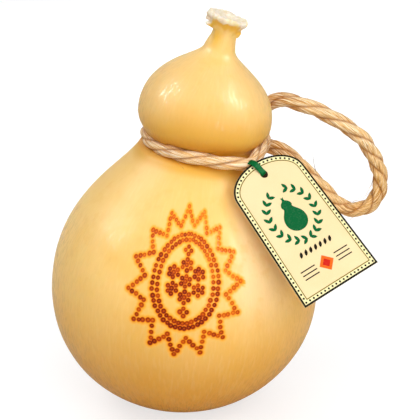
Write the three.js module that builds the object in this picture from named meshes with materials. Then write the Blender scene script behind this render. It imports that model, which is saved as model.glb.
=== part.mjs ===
// A caciocavallo: a pear-shaped stretched-curd cheese with a round head and a torn-off stalk. A sisal
// rope goes once round its neck and leaves it as the loop that the cheese hangs by, and a card tag is
// held on that rope by a flat rubber band. Millimetres, +Z up, the cheese standing on its flat spot.
import * as THREE from "three";

// Cheese outline: radius and height along the cheese's own axis
const BODY_RADIUS = 73.4;
const WIDEST_HEIGHT = 66;
const BODY_DROP = 68.7; // from the widest ring to the lowest point, before the flat spot is pressed in
const SHOULDER_PULL = 50.5;
const NECK_PULL = 19;
const NECK_RADIUS = 30.4;
const NECK_HEIGHT = 153;
const HEAD_RADIUS = 36;
const HEAD_HEIGHT = 165.8;
const NECK_RISE = 1.7; // how far the neck's narrowest part goes straight up before the head swells
const HEAD_UNDER_PULL = 8.4;
const CROWN_PULL = 24.2;
const STALK_RADIUS = 8.1;
const STALK_HEIGHT = 203.8;
const STALK_PULL = 7.8;
const STALK_WAIST = 6.2; // how far the stalk draws in below its torn end
const WAIST_DROP = 3.8; // from the torn rim down to where the stalk is drawn in
const TORN_RADIUS = 10.4;
const TORN_HEIGHT = 220.6;
const TORN_LIP = 2.4;
const TORN_DIMPLE = 2.6;
const CHEESE_SEGMENTS = 64;

// The axis bends to the right, more and more toward the stalk (degrees from upright)
const LEAN_FOOT = 1.4;
const LEAN_TIP = 15.6;
const LEAN_POWER = 1.6;

// Torn stalk end: the crags start below the lip and grow toward it
const TEAR_DEPTH = 6;
const TEAR_TILT = 0.8;
const TEAR_CRAG = 0.3;
// Its lumps and its drawn-in side: turn about the axis and half width in radians, then drop below the
// top, half height and reach
const TEAR_LUMPS = [
  { turn: -3.05, width: 0.9, drop: 5, tall: 3.6, reach: 1 }, // left overhang
  { turn: -2.97, width: 0.35, drop: 7, tall: 1.9, reach: 1.9 }, // tuft under it
  { turn: -3.1, width: 1.1, drop: 11.5, tall: 3.6, reach: -1.2 }, // drawn in below the tuft
  { turn: -0.25, width: 0.85, drop: 5, tall: 2.8, reach: 0.4 }, // right lip
  { turn: -0.2, width: 0.5, drop: 7.6, tall: 2, reach: 1.4 }, // drip under it
];

// Rope: one closed length, first round the neck from its right, behind, then out as the hanging loop.
// It is drawn thinner where it is pulled tight round the neck.
const NECK_ROPE_RADIUS = 3.6;
const LOOP_ROPE_RADIUS = 4.3;
const ROPE_SIDES = 10;
const NECK_STEPS = 56;
const LOOP_STEPS = 46;
const NECK_END_POINT = 19; // the route point behind the head where the loop takes over
const JOINT_GAP = 0.3;
const GROOVE_CLEARANCE = 1.3;
const GROOVE_STEPS = 400; // places along the rope that the groove is pressed from
const GROOVE_SEARCH = 20; // how near a rope place must be to press the skin
const ROPE_ROUTE = [
  [39, 22.5, 142.8],
  [29.5, 26.3, 145.6],
  [19.5, 29, 148.6],
  [9, 29.4, 151.4],
  [-3, 26.2, 153.2],
  [-13, 19, 154.4],
  [-18.4, 10, 155],
  [-19.6, -0.5, 154.2],
  [-16.2, -12, 152.8],
  [-8.8, -22, 152],
  [1.2, -28.8, 151],
  [11.6, -31.4, 149.8],
  [21.9, -31.8, 148.2],
  [29.9, -29.8, 147],
  [35.1, -25.6, 146.2],
  [39.3, -18.2, 148.5],
  [42.2, -8.5, 150],
  [43.3, 2.5, 150.3],
  [42.7, 13, 152.4],
  [42.7, 20.3, 157],
  [44.6, 22.2, 163.2],
  [49.1, 19.5, 167],
  [55.5, 15.5, 168.4],
  [61.9, 13, 167.4],
  [69.8, 11.5, 165.1],
  [79.9, 10, 160.5],
  [89.2, 9, 154.8],
  [96.2, 9, 149.2],
  [101.5, 9, 141.7],
  [105.4, 9, 133.9],
  [107.4, 9, 126.1],
  [107.1, 9, 119.4],
  [104.4, 9, 113],
  [100.1, 9, 109.2],
  [94, 9, 107.9],
  [87.4, 9, 109.4],
  [80.9, 9, 114.8],
  [75, 9, 121.6],
  [68.8, 9, 127.6],
  [62.9, 10, 133.9],
  [57.2, 12, 138.4],
  [51.2, 15, 141.2],
  [45.6, 18.6, 142],
];

// Card tag: an arched top over sides that spread toward a straight foot, measured from its hole
const TAG_THICKNESS = 0.8;
const TAG_TOP_WIDTH = 43.5;
const TAG_FOOT_WIDTH = 47.8;
const HOLE_TO_TOP = 7.9;
const HOLE_TO_SPRING = 6;
const HOLE_TO_FOOT = 69.8;
const TAG_HOLE_RADIUS = 2.1;
const TAG_HOLE_PLACE = [41.9, -33.8, 142.5];
const TAG_TURN = 16; // degrees to the right from facing -Y
const TAG_RECLINE = 40.6; // degrees that its face looks upward
const TAG_ROLL = 24.3; // degrees turned anticlockwise in its own plane

// Rubber band: a flat strip that comes out between the rope's strands, lies over the card's upper edge,
// turns through the hole and runs back behind the card to the rope
const BAND_THICKNESS = 0.8;
const BAND_WIDTH = 3.3;
const BAND_BEND_RADIUS = 1.1; // inside radius of the turn through the hole
const BAND_BEND_PLACE = 1.6; // from the hole's middle to the middle of that turn
const BAND_FRONT_REACH = 10.4;
const BAND_BACK_REACH = 6.6;
const BAND_TURN = 15; // degrees to the left of the card's own upward direction

const radians = THREE.MathUtils.degToRad;

// Where the bent axis is at a height along it, and how far it leans there
function axisAt(height) {
  const steps = 40;
  const step = (height - WIDEST_HEIGHT) / steps;
  const leanAt = (h) =>
    radians(LEAN_FOOT + (LEAN_TIP - LEAN_FOOT) * Math.max(h / TORN_HEIGHT, 0) ** LEAN_POWER);
  let x = 0;
  let z = WIDEST_HEIGHT;
  for (let i = 0; i < steps; i++) {
    const lean = leanAt(WIDEST_HEIGHT + step * (i + 0.5));
    x += Math.sin(lean) * step;
    z += Math.cos(lean) * step;
  }
  return { x, z, lean: leanAt(height) };
}

// The outline from the lowest point to the middle of the torn end, radius by height
function cheeseOutline() {
  const at = (radius, height) => new THREE.Vector2(radius, height);
  const curves = [
    [new THREE.EllipseCurve(0, WIDEST_HEIGHT, BODY_RADIUS, BODY_DROP, -Math.PI / 2, 0), 15],
    [
      new THREE.CubicBezierCurve(
        at(BODY_RADIUS, WIDEST_HEIGHT),
        at(BODY_RADIUS, WIDEST_HEIGHT + SHOULDER_PULL),
        at(NECK_RADIUS, NECK_HEIGHT - NECK_PULL),
        at(NECK_RADIUS, NECK_HEIGHT),
      ),
      22,
    ],
    [
      new THREE.CubicBezierCurve(
        at(NECK_RADIUS, NECK_HEIGHT),
        at(NECK_RADIUS, NECK_HEIGHT + NECK_RISE),
        at(HEAD_RADIUS, HEAD_HEIGHT - HEAD_UNDER_PULL),
        at(HEAD_RADIUS, HEAD_HEIGHT),
      ),
      7,
    ],
    [
      new THREE.CubicBezierCurve(
        at(HEAD_RADIUS, HEAD_HEIGHT),
        at(HEAD_RADIUS, HEAD_HEIGHT + CROWN_PULL),
        at(STALK_RADIUS, STALK_HEIGHT - STALK_PULL),
        at(STALK_RADIUS, STALK_HEIGHT),
      ),
      13,
    ],
    [
      new THREE.CubicBezierCurve(
        at(STALK_RADIUS, STALK_HEIGHT),
        at(STALK_WAIST, STALK_HEIGHT + STALK_PULL),
        at(STALK_WAIST, TORN_HEIGHT - TORN_LIP - WAIST_DROP),
        at(TORN_RADIUS, TORN_HEIGHT - TORN_LIP),
      ),
      12,
    ],
  ];
  const points = curves.flatMap(([curve, count], i) => curve.getPoints(count).slice(i ? 1 : 0));
  points.push(at(TORN_RADIUS + 0.2, TORN_HEIGHT - TORN_LIP / 2));
  points.push(at(TORN_RADIUS * 0.86, TORN_HEIGHT));
  points.push(at(TORN_RADIUS * 0.55, TORN_HEIGHT - TORN_DIMPLE * 0.4));
  points.push(at(TORN_RADIUS * 0.25, TORN_HEIGHT - TORN_DIMPLE * 0.9));
  points.push(at(0, TORN_HEIGHT - TORN_DIMPLE));
  points[0].x = 0;
  return points;
}

// The rope's whole centreline, and a stretch of it as a curve of its own
const route = ROPE_ROUTE.map((place) => new THREE.Vector3(...place));
const ropeLine = new THREE.CatmullRomCurve3(route, true, "centripetal");
ropeLine.arcLengthDivisions = 1200;

class RopeStretch extends THREE.Curve {
  constructor(from, to) {
    super();
    this.from = from;
    this.to = to;
  }
  getPoint(t, target = new THREE.Vector3()) {
    return ropeLine.getPointAt(this.from + (this.to - this.from) * t, target);
  }
}

// The share of the rope's length at a route point, which the closed curve reaches at an even parameter
function shareAt(index) {
  const lengths = ropeLine.getLengths();
  const place = Math.round((index / ROPE_ROUTE.length) * (lengths.length - 1));
  return lengths[place] / ropeLine.getLength();
}

const halfGap = JOINT_GAP / 2 / ropeLine.getLength();
const neckEnd = shareAt(NECK_END_POINT);
const neckLine = new RopeStretch(halfGap, neckEnd - halfGap);
const loopLine = new RopeStretch(neckEnd + halfGap, 1 - halfGap);

// How far a skin point is pushed toward the axis so that the rope has its groove
function grooveDepth(skin, outward, ropePlaces) {
  const reach = NECK_ROPE_RADIUS + GROOVE_CLEARANCE;
  const away = new THREE.Vector3();
  let depth = 0;
  for (const place of ropePlaces) {
    away.subVectors(skin, place);
    const height = away.dot(outward);
    const aside = away.lengthSq() - height * height;
    if (away.length() < GROOVE_SEARCH && aside < reach * reach)
      depth = Math.max(depth, height + Math.sqrt(reach * reach - aside));
  }
  return depth;
}

// How far the torn end's lumps reach out at an angle and a drop below the top
function tornReach(angle, drop) {
  let reach = 0;
  for (const lump of TEAR_LUMPS) {
    const aside = THREE.MathUtils.euclideanModulo(angle - lump.turn + Math.PI, 2 * Math.PI) - Math.PI;
    const around = Math.max(0, 1 - (aside / lump.width) ** 2) ** 2;
    reach += lump.reach * around * Math.max(0, 1 - ((drop - lump.drop) / lump.tall) ** 4);
  }
  return reach;
}

// The cheese: the outline turned about its axis, the end torn, the axis bent, the neck grooved by the
// rope, and the bottom pressed flat where it stands
function cheeseGeometry() {
  const geometry = new THREE.LatheGeometry(cheeseOutline(), CHEESE_SEGMENTS);
  geometry.rotateX(Math.PI / 2);
  const places = geometry.getAttribute("position");
  const ropePlaces = ropeLine.getSpacedPoints(GROOVE_STEPS);
  const skin = new THREE.Vector3();
  const outward = new THREE.Vector3();
  for (let i = 0; i < places.count; i++) {
    skin.fromBufferAttribute(places, i);
    let height = skin.z;
    let radius = Math.hypot(skin.x, skin.y);
    const angle = radius > 1e-6 ? Math.atan2(skin.y, skin.x) : 0;
    const torn = THREE.MathUtils.clamp((height - TORN_HEIGHT + TEAR_DEPTH) / TEAR_DEPTH, 0, 1);
    const spread = Math.min(radius / TORN_RADIUS, 1) * torn;
    const crag = Math.sin(4 * angle + 0.4) + Math.sin(7 * angle + 1.1) + 0.6 * Math.sin(13 * angle);
    height += spread * (TEAR_CRAG * crag - TEAR_TILT * Math.cos(angle));
    radius *= 1 + torn * (0.04 * Math.sin(3 * angle + 0.8) + 0.04 * Math.sin(11 * angle + 2));
    radius += tornReach(angle, TORN_HEIGHT - skin.z) * Math.min(1, radius / (0.6 * TORN_RADIUS));
    const axis = axisAt(height);
    const leaned = { across: Math.cos(axis.lean), down: Math.sin(axis.lean) };
    outward.set(Math.cos(angle) * leaned.across, Math.sin(angle), -Math.cos(angle) * leaned.down);
    skin.set(axis.x, 0, axis.z).addScaledVector(outward, radius);
    skin.addScaledVector(outward, -grooveDepth(skin, outward, ropePlaces));
    skin.z = Math.max(skin.z, 0);
    places.setXYZ(i, skin.x, skin.y, skin.z);
  }
  geometry.computeVertexNormals();
  return geometry;
}

// A round rope along a curve
function ropeGeometry(curve, steps, radius) {
  const section = new THREE.Shape();
  for (let i = 0; i < ROPE_SIDES; i++) {
    const angle = (i / ROPE_SIDES) * 2 * Math.PI;
    const place = [radius * Math.cos(angle), radius * Math.sin(angle)];
    if (i) section.lineTo(...place);
    else section.moveTo(...place);
  }
  return new THREE.ExtrudeGeometry(section, { steps, extrudePath: curve, curveSegments: 1 });
}

// The card: arched top, straight spreading sides, straight foot and a round hole at its origin
function tagGeometry() {
  const outline = new THREE.Shape();
  outline.moveTo(-TAG_FOOT_WIDTH / 2, -HOLE_TO_FOOT);
  outline.lineTo(TAG_FOOT_WIDTH / 2, -HOLE_TO_FOOT);
  const arch = HOLE_TO_TOP + HOLE_TO_SPRING;
  outline.lineTo(TAG_TOP_WIDTH / 2, -HOLE_TO_SPRING);
  outline.absellipse(0, -HOLE_TO_SPRING, TAG_TOP_WIDTH / 2, arch, 0, Math.PI);
  outline.closePath();
  const hole = new THREE.Path();
  hole.absarc(0, 0, TAG_HOLE_RADIUS, 0, 2 * Math.PI);
  outline.holes.push(hole);
  const sheet = { depth: TAG_THICKNESS, bevelEnabled: false, curveSegments: 14 };
  return new THREE.ExtrudeGeometry(outline, sheet).translate(0, 0, -TAG_THICKNESS / 2);
}

// The band seen from its side: x along the card toward the rope, y out of the card's face
function bandGeometry() {
  const inside = BAND_BEND_RADIUS;
  const outside = BAND_BEND_RADIUS + BAND_THICKNESS;
  const strip = new THREE.Shape();
  strip.moveTo(BAND_FRONT_REACH, inside);
  strip.lineTo(BAND_FRONT_REACH, outside);
  strip.absarc(BAND_BEND_PLACE, 0, outside, 0.5 * Math.PI, 1.5 * Math.PI);
  strip.lineTo(BAND_BACK_REACH, -outside);
  strip.lineTo(BAND_BACK_REACH, -inside);
  strip.absarc(BAND_BEND_PLACE, 0, inside, 1.5 * Math.PI, 0.5 * Math.PI, true);
  strip.closePath();
  const width = { depth: BAND_WIDTH, bevelEnabled: false, curveSegments: 12 };
  return new THREE.ExtrudeGeometry(strip, width).translate(0, 0, -BAND_WIDTH / 2);
}

function piece(name, geometry, color, roughness) {
  const mesh = new THREE.Mesh(geometry, new THREE.MeshStandardMaterial({ color, roughness, metalness: 0 }));
  mesh.name = name;
  return mesh;
}

const caciocavallo = new THREE.Group();
caciocavallo.add(piece("cheese", cheeseGeometry(), 0xf0cd84, 0.42));
caciocavallo.add(piece("neck_rope", ropeGeometry(neckLine, NECK_STEPS, NECK_ROPE_RADIUS), 0xe0b987, 0.85));
caciocavallo.add(piece("hang_loop", ropeGeometry(loopLine, LOOP_STEPS, LOOP_ROPE_RADIUS), 0xd8ab6a, 0.85));

// The tag leans on the shoulder, turned in its own plane, with its hole beside the rope
const tag = piece("tag", tagGeometry(), 0xfbeebc, 0.6);
const tagTurn = new THREE.Group();
tagTurn.position.set(...TAG_HOLE_PLACE);
tagTurn.rotation.set(Math.PI / 2 - radians(TAG_RECLINE), 0, radians(TAG_TURN), "ZYX");
tag.rotation.z = radians(TAG_ROLL);
tagTurn.add(tag);
caciocavallo.add(tagTurn);

// The band stands on the card with its flat side along it
const band = piece("tag_band", bandGeometry(), 0x0a6b3c, 0.5);
band.rotation.set(Math.PI / 2, 0, Math.PI / 2 + radians(TAG_ROLL + BAND_TURN), "ZYX");
tagTurn.add(band);

export default caciocavallo;
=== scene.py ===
import math
import random

import bmesh
import bpy
import numpy as np
from mathutils import Matrix, Vector, kdtree, noise


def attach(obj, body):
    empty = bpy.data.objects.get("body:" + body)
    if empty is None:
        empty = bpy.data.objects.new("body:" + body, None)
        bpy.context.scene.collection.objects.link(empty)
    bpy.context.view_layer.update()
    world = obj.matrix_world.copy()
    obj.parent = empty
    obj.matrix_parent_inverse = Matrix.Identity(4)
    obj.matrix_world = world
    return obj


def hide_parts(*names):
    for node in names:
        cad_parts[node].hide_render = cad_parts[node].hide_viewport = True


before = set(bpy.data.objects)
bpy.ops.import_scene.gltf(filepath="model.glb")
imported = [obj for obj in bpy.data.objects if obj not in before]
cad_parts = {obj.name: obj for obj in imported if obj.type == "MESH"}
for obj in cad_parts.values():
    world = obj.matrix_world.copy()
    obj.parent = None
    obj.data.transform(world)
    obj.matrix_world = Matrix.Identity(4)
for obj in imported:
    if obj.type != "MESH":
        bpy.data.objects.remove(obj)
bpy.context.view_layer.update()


# The camera looks at the cheese from straight in front and a little above, through a long lens.
# Its aim is the middle of the whole object, with the rope's loop.
CAMERA_TILT = math.radians(20)
CAMERA_AIM = Vector((0.01415, 0.00187, 0.11013))
CAMERA_DISTANCE = 0.8
CAMERA_LENS = 125.5

lens = bpy.data.cameras.new("camera")
lens.lens = CAMERA_LENS
camera = bpy.data.objects.new("camera", lens)
camera.location = CAMERA_AIM + CAMERA_DISTANCE * Vector((0, -math.cos(CAMERA_TILT), math.sin(CAMERA_TILT)))
camera.rotation_euler = (math.pi / 2 - CAMERA_TILT, 0, 0)
bpy.context.collection.objects.link(camera)
bpy.context.scene.camera = camera


# The hanging loop is three-strand sisal rope, laid left-handed. It is one rope with the turn round the
# neck: it leaves that turn behind the head, stands out stiffly to the side and comes back under itself.
# The points are the rope's whole closed route, from where it passes under its own rising end.
ROPE_ROUTE = [
    (0.0390, 0.0225, 0.1428), (0.0295, 0.0263, 0.1456), (0.0195, 0.0290, 0.1486),
    (0.0090, 0.0294, 0.1514), (-0.0030, 0.0262, 0.1532), (-0.0130, 0.0190, 0.1544),
    (-0.0184, 0.0100, 0.1550), (-0.0196, -0.0005, 0.1542), (-0.0162, -0.0120, 0.1528),
    (-0.0088, -0.0220, 0.1520), (0.0012, -0.0288, 0.1510), (0.0116, -0.0314, 0.1498),
    (0.0219, -0.0318, 0.1482), (0.0299, -0.0298, 0.1470), (0.0351, -0.0256, 0.1462),
    (0.0393, -0.0182, 0.1485), (0.0422, -0.0085, 0.1500), (0.0433, 0.0025, 0.1503),
    (0.0427, 0.0130, 0.1524), (0.0427, 0.0203, 0.1570), (0.0446, 0.0222, 0.1632),
    (0.0491, 0.0195, 0.1670), (0.0555, 0.0155, 0.1684), (0.0619, 0.0130, 0.1674),
    (0.0698, 0.0115, 0.1651), (0.0799, 0.0100, 0.1605), (0.0892, 0.0090, 0.1548),
    (0.0962, 0.0090, 0.1492), (0.1015, 0.0090, 0.1417), (0.1054, 0.0090, 0.1339),
    (0.1074, 0.0090, 0.1261), (0.1071, 0.0090, 0.1194), (0.1044, 0.0090, 0.1130),
    (0.1001, 0.0090, 0.1092), (0.0940, 0.0090, 0.1079), (0.0874, 0.0090, 0.1094),
    (0.0809, 0.0090, 0.1148), (0.0750, 0.0090, 0.1216), (0.0688, 0.0090, 0.1276),
    (0.0629, 0.0100, 0.1339), (0.0572, 0.0120, 0.1384), (0.0512, 0.0150, 0.1412),
    (0.0456, 0.0186, 0.1420),
]
ROUTE_STEPS = 24
NECK_END_POINT = 19
BEND_POINTS = (26, 38)
NECK_ROPE_RADIUS = 0.0036
LOOP_ROPE_RADIUS = 0.0043
RADIUS_EASE = 0.010
ROPE_STEP = 0.0008
ROPE_AROUND = 96
ROPE_LAY = 0.050
BEND_LAY = 0.032
LAY_EASE = 0.02
STRANDS = 3
STRAND_SHARE = 0.64
FIBRE_SLANT = 1.2
# The strands' relief: its height, how fine it is round the rope and how fast it changes along it.
YARNS = (0.00024, 5, 40)
FIBRES = (0.00012, 14, 90)
STRAND_SHIFT = 7
JOIN_GAP = 1e-6


def smooth_closed_line(points, steps):
    """A centripetal spline through a closed route: each stretch between two points in that many steps."""
    line = []
    count = len(points)
    for index in range(count):
        before, start, end, after = (Vector(points[(index + shift) % count]) for shift in (-1, 0, 1, 2))
        pairs = ((before, start), (start, end), (end, after))
        gap_in, gap, gap_out = ((b - a).length ** 0.5 for a, b in pairs)
        leave = (start - before) / gap_in - (end - before) / (gap_in + gap) + (end - start) / gap
        arrive = (end - start) / gap - (after - start) / (gap + gap_out) + (after - end) / gap_out
        for step in range(steps):
            t = step / steps
            line.append((2 * t**3 - 3 * t**2 + 1) * start + (3 * t**2 - 2 * t**3) * end
                        + (t**3 - 2 * t**2 + t) * gap * leave + (t**3 - t**2) * gap * arrive)
    return line


def even_line(points, step):
    """The same open line with its points spread evenly along it."""
    places = np.array(points)
    runs = np.concatenate([[0], np.cumsum(np.linalg.norm(np.diff(places, axis=0), axis=1))])
    count = max(2, round(runs[-1] / step)) + 1
    wanted = np.linspace(0, runs[-1], count)
    return [Vector(p) for p in np.stack([np.interp(wanted, runs, places[:, k]) for k in range(3)], axis=1)]


def untwisted_frames(points):
    """A direction and a side for each point of a line, where the side never turns about the line."""
    frames = []
    side = None
    for index, point in enumerate(points):
        ahead = points[min(index + 1, len(points) - 1)]
        behind = points[max(index - 1, 0)]
        direction = (ahead - behind).normalized()
        if side is None:
            side = direction.orthogonal().normalized()
        else:
            side = (old_direction.rotation_difference(direction) @ side)
            side = (side - direction * side.dot(direction)).normalized()
        old_direction = direction
        frames.append((point, direction, side))
    return frames


route_line = smooth_closed_line(ROPE_ROUTE, ROUTE_STEPS)
neck_line = even_line(route_line[:NECK_END_POINT * ROUTE_STEPS + 1], ROPE_STEP)
loop_line = even_line(route_line[NECK_END_POINT * ROUTE_STEPS:] + route_line[:1], ROPE_STEP)
rope_frames = untwisted_frames(neck_line + loop_line[1:])
NECK_LENGTH = ROPE_STEP * (len(neck_line) - 1)
ROPE_LENGTH = ROPE_STEP * (len(rope_frames) - 1)


def rope_radius(run):
    """The rope's radius at a run along it: thinner where it is pulled tight round the neck."""
    middle = (NECK_LENGTH + ROPE_LENGTH) / 2
    inside = (ROPE_LENGTH - NECK_LENGTH) / 2 - abs(run - middle)
    ease = min(max(inside / RADIUS_EASE, 0), 1)
    return NECK_ROPE_RADIUS + (LOOP_ROPE_RADIUS - NECK_ROPE_RADIUS) * ease * ease * (3 - 2 * ease)


route_gaps = [(b - a).length for a, b in zip(route_line, route_line[1:])]
bend_start, bend_end = (sum(route_gaps[:point * ROUTE_STEPS]) for point in BEND_POINTS)


def rope_lay(run):
    """The rope's length in one turn of its strands: shorter where the loop bends back."""
    ease = min(max(min(run - bend_start, bend_end - run) / LAY_EASE, 0), 1)
    return ROPE_LAY + (BEND_LAY - ROPE_LAY) * ease


rope_turns = np.cumsum([ROPE_STEP / rope_lay(index * ROPE_STEP) for index in range(len(rope_frames))])


def strand_reach(turn):
    """How far a rope of round strands reaches at a share of a turn about it, for a rope of radius one."""
    off = ((turn * STRANDS) % 1 - 0.5) * math.tau / STRANDS
    centre = 1 - STRAND_SHARE
    return centre * math.cos(off) + math.sqrt(STRAND_SHARE**2 - (centre * math.sin(off)) ** 2)


def round_place(fineness, angle, along):
    """A place for a noise that joins up round a turn: a point of a ring, and a run past it."""
    return fineness * math.cos(angle), fineness * math.sin(angle), along


def strand_relief(kind, fibre, run, strand):
    """How far one kind of relief lifts the skin of a strand."""
    height, fineness, change = kind
    return height * noise.noise(round_place(fineness, fibre, run * change + STRAND_SHIFT * strand))


def rope_skin(run, turn):
    """A point of the rope's skin, with the yarns and fibres of its strands raised a little."""
    index = min(round(run / ROPE_STEP), len(rope_frames) - 1)
    point, direction, side = rope_frames[index]
    strand = int(turn * STRANDS) % STRANDS
    fibre = (turn - FIBRE_SLANT * rope_turns[index]) * math.tau
    reach = (rope_radius(run) * strand_reach(turn)
             + strand_relief(YARNS, fibre, run, strand) + strand_relief(FIBRES, fibre, run, strand))
    angle = (turn - rope_turns[index]) * math.tau
    return point + reach * (math.cos(angle) * side + math.sin(angle) * direction.cross(side))


def close_tube(shape):
    """Joins the long edges of a swept sheet and closes its ends."""
    bmesh.ops.remove_doubles(shape, verts=shape.verts, dist=JOIN_GAP)
    ends = [edge for edge in shape.edges if edge.is_boundary]
    bmesh.ops.holes_fill(shape, edges=ends, sides=0)


def add_rope(shape, start, end):
    """Sweeps the rope's section from one run along it to another, with its own map of twist and turn."""
    steps = round((end - start) / ROPE_STEP)
    first = round(start / ROPE_STEP)
    chart = shape.loops.layers.uv.verify()
    made = bmesh.ops.create_grid(shape, x_segments=steps, y_segments=ROPE_AROUND, size=1, calc_uvs=True)
    for corner in made["verts"]:
        run = start + (corner.co.x + 1) / 2 * (end - start)
        corner.co = rope_skin(run, (corner.co.y + 1) / 2)
    for face in shape.faces:
        for loop in face.loops:
            loop[chart].uv.x = rope_turns[min(first + round(loop[chart].uv.x * steps), len(rope_turns) - 1)]
    close_tube(shape)


def add_piece(name, shape, material, smooth=True):
    """Turns a finished bmesh into an object at the origin that rides on the one body of the part."""
    bmesh.ops.recalc_face_normals(shape, faces=shape.faces)
    mesh = bpy.data.meshes.new(name)
    shape.to_mesh(mesh)
    shape.free()
    mesh.polygons.foreach_set("use_smooth", [smooth] * len(mesh.polygons))
    mesh.materials.append(material)
    piece = bpy.data.objects.new(name, mesh)
    bpy.context.collection.objects.link(piece)
    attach(piece, "root")
    return piece


def colour(red, green, blue):
    """A colour given in the usual 0 to 255 screen values, as the shader's linear values."""
    shares = [value / 255 for value in (red, green, blue)]
    return [s / 12.92 if s <= 0.04045 else ((s + 0.055) / 1.055) ** 2.4 for s in shares] + [1]


def start_material(name, values):
    """A material with plain values on its shader's own sockets. Gives the material, node tree and shader."""
    material = bpy.data.materials.new(name)
    material.use_nodes = True
    shader = material.node_tree.nodes["Principled BSDF"]
    for socket, value in values.items():
        shader.inputs[socket].default_value = value
    return material, material.node_tree, shader


def add_node(tree, kind, inputs, **settings):
    """Adds a shader node. Each input is a plain value or the output of another node."""
    made = tree.nodes.new("ShaderNode" + kind)
    for name, value in settings.items():
        setattr(made, name, value)
    for key, value in inputs.items():
        if isinstance(value, bpy.types.NodeSocket):
            tree.links.new(value, made.inputs[key])
        else:
            made.inputs[key].default_value = value
    return made


def mix(tree, share, first, second):
    """Mixes two colours by a share."""
    return add_node(tree, "Mix", {0: share, 6: first, 7: second}, data_type="RGBA").outputs[2]


def ramp(tree, value, low, high, start=0.0, end=1.0):
    """Maps a value from the range low to high onto start to end, eased at both ends."""
    inputs = {"Value": value, "From Min": low, "From Max": high, "To Min": start, "To Max": end}
    return add_node(tree, "MapRange", inputs, interpolation_type="SMOOTHSTEP").outputs[0]


def tint(tree, base, value, low, high, strength, tone):
    """Lays a tone over a base: nothing of it where the value is low, that strength of it where it is high."""
    return mix(tree, ramp(tree, value, low, high, 0.0, strength), base, tone)


def maths(tree, operation, first, second=0.0):
    """One sum of one or two values."""
    return add_node(tree, "Math", {0: first, 1: second}, operation=operation).outputs[0]


def speckle(tree, place, scale, detail=3.0, roughness=0.55):
    """A noise value over a place, mostly between 0.3 and 0.7."""
    inputs = {"Vector": place, "Scale": scale, "Detail": detail, "Roughness": roughness}
    return add_node(tree, "TexNoise", inputs).outputs[0]


def object_place(tree):
    """The place on a piece that its patterns are set by."""
    return add_node(tree, "TexCoord", {}).outputs["Object"]


def finish_material(tree, shader, shade, relief=None, strength=0.0, depth=0.0):
    """Gives a material its colour and, where it has one, its fine relief."""
    tree.links.new(shade, shader.inputs["Base Color"])
    if relief:
        bump = add_node(tree, "Bump", {"Strength": strength, "Distance": depth, "Height": relief})
        tree.links.new(bump.outputs[0], shader.inputs["Normal"])


# The rope's tones: lightest round the neck, with painted shade beside the head and darker in the loop's bend.
# The loop has lit and shaded copies of its tones, as painted light: paler high on the loop, where light from
# above falls, than low on it. The ranges are places across the object, and heights.
LOOP_STARTS = (0.0435, 0.050)
SHADE_BESIDE_HEAD = (0.068, 0.054)
HEAD_SHADE_SHARE = 0.9
IN_BEND = (0.080, 0.098)
LIT_HIGH_ON_LOOP = (0.118, 0.160)
NECK_STRAW = colour(242, 194, 122)
LIT_HIGH_STRAW = colour(232, 182, 108)
SHADED_LOW_STRAW = colour(232, 188, 122)
BEND_STRAW = colour(218, 166, 86)
HEAD_SHADE_STRAW = colour(200, 136, 46)
NECK_PALE = colour(254, 240, 212)
LIT_HIGH_PALE = colour(255, 242, 206)
SHADED_LOW_PALE = colour(252, 224, 176)
NECK_DARK = colour(186, 120, 62)
LIT_HIGH_DARK = colour(158, 90, 18)
SHADED_LOW_DARK = colour(150, 86, 20)
NECK_GAP_SHADE = colour(140, 90, 48)
LOOP_GAP_SHADE = colour(106, 58, 16)
# Lines of fibre: how often they change in one turn of the strands, and how many lie round the rope.
HAIRLINES = (7.0, 170.0)
FINE_LINES = (4.5, 70.0)
BROAD_LINES = (2.2, 19.0)
GAP_BREAKS = (3.0, 5.0)
STRANDS_APART = 3.7
# How a tone comes in with the noise of those lines, or off a strand's crown: from, to and its strength.
PALE_FINE = (0.46, 0.62, 1.0)
PALE_HAIRS = (0.53, 0.66, 0.8)
DARK_BROAD = (0.46, 0.32, 0.7)
DARK_HAIRS = (0.48, 0.38, 0.85)
# Painted shade on the strands' round sides, darker away from their crowns.
STRAND_SIDE_SHADE = (0.28, 0.48, 0.5, colour(180, 110, 42))
CREASE = (0.66, 0.80)
CREASE_UNEVENNESS = 0.25
GAP_BREAK = (0.40, 0.58)
GAP_STRENGTHS = (0.25, 0.95)


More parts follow.
